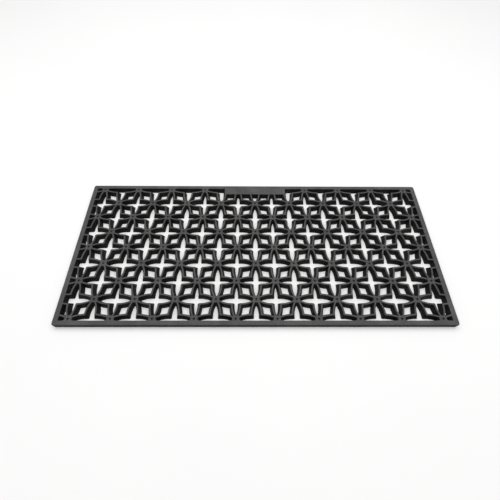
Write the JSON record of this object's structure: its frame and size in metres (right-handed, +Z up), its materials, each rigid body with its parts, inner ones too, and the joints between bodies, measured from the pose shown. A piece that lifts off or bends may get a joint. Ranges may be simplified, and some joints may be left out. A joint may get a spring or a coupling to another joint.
{
  "type": "openwork door mat",
  "caption": "Rectangular moulded rubber door mat with a solid border, a flower-patterned openwork lattice of drafted ribs and a blank label plate at the back.",
  "frame": {"origin": "centre of the mat's underside, on the floor", "axes": "+X along the mat's length to the right, +Y towards the edge with the label plate, +Z up"},
  "size_m": [0.9, 0.4, 0.014],
  "materials": {
    "black_rubber": "matt moulded, fine grained, a little dusty"
  },
  "bodies": {
    "root": {"border_front": "black_rubber", "border_back": "black_rubber", "border_left": "black_rubber", "border_right": "black_rubber", "label_plate": "black_rubber", "lattice_row_1": "black_rubber", "lattice_row_2": "black_rubber", "lattice_row_3": "black_rubber", "lattice_row_4": "black_rubber", "lattice_row_5": "black_rubber", "lattice_row_6": "black_rubber", "lattice_row_7": "black_rubber", "lattice_row_8": "black_rubber"}
  },
  "joints": []
}
